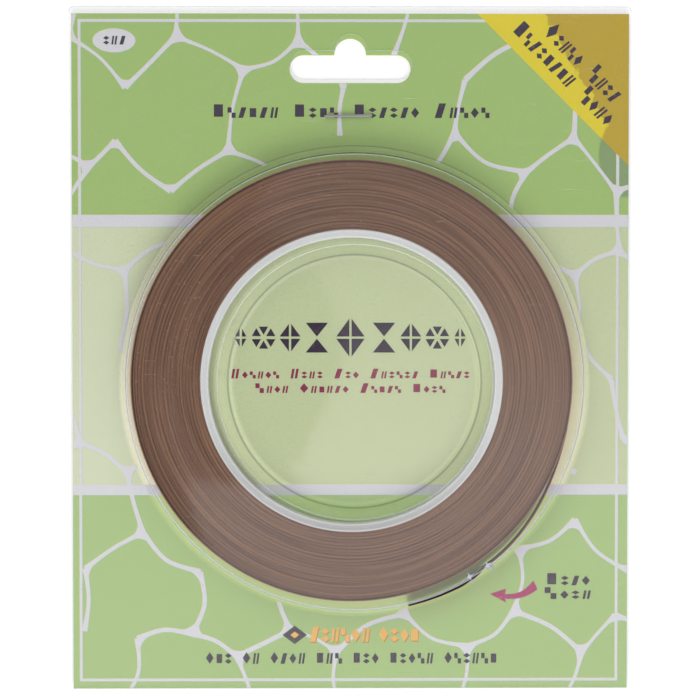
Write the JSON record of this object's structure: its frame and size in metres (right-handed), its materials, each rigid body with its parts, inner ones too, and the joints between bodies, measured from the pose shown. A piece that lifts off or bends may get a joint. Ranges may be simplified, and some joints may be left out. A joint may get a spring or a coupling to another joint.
{
  "type": "copper foil tape roll in dispenser pack",
  "caption": "Roll of narrow copper foil tape in a clear round blister on a printed hang card; the end comes out of a slit and pulls, and the roll turns with it.",
  "frame": {"origin": "middle of the pack's outline, at the height of the surface it lies on (the back of the folded flanges)", "axes": "+Z out of the printed face, +Y up the card towards the hang hole, +X to the right as the face is read"},
  "size_m": [0.1504, 0.1828, 0.0076],
  "materials": {
    "card": "printed, coated, satin",
    "clear_plastic": "clear, glossy, vacuum-formed",
    "steel": "galvanised wire",
    "copper": "thin bright foil",
    "liner": "smooth brown release paper",
    "core_plastic": "milky, translucent, moulded",
    "windings": "edges of many turns of foil and paper, fine concentric lines"
  },
  "bodies": {
    "dispenser": {"backing_card": "card", "blister_cover": "clear_plastic", "staple": "steel", "lead_foil": "copper", "lead_liner": "liner"},
    "roll": {"roll_core": "core_plastic", "tape_windings": "windings", "outer_turn_foil": "copper", "outer_turn_liner": "liner"},
    "tail": {"tail_foil": "copper", "tail_liner": "liner"}
  },
  "joints": [
    {"name": "roll_spin", "type": "hinge", "parent": "dispenser", "child": "roll", "pos_m": [0.00025, -0.0084, 0.00415], "axis": [0, 0, 1], "range_deg": [-90, 0]},
    {"name": "tape_pull", "type": "slide", "parent": "dispenser", "child": "tail", "axis": [-0.848, -0.53, 0], "range_m": [0, 0.0925]}
  ],
  "couplings": [
    {"joint": "tape_pull", "follows": "roll_spin", "m_per_rad": -0.05885}
  ]
}
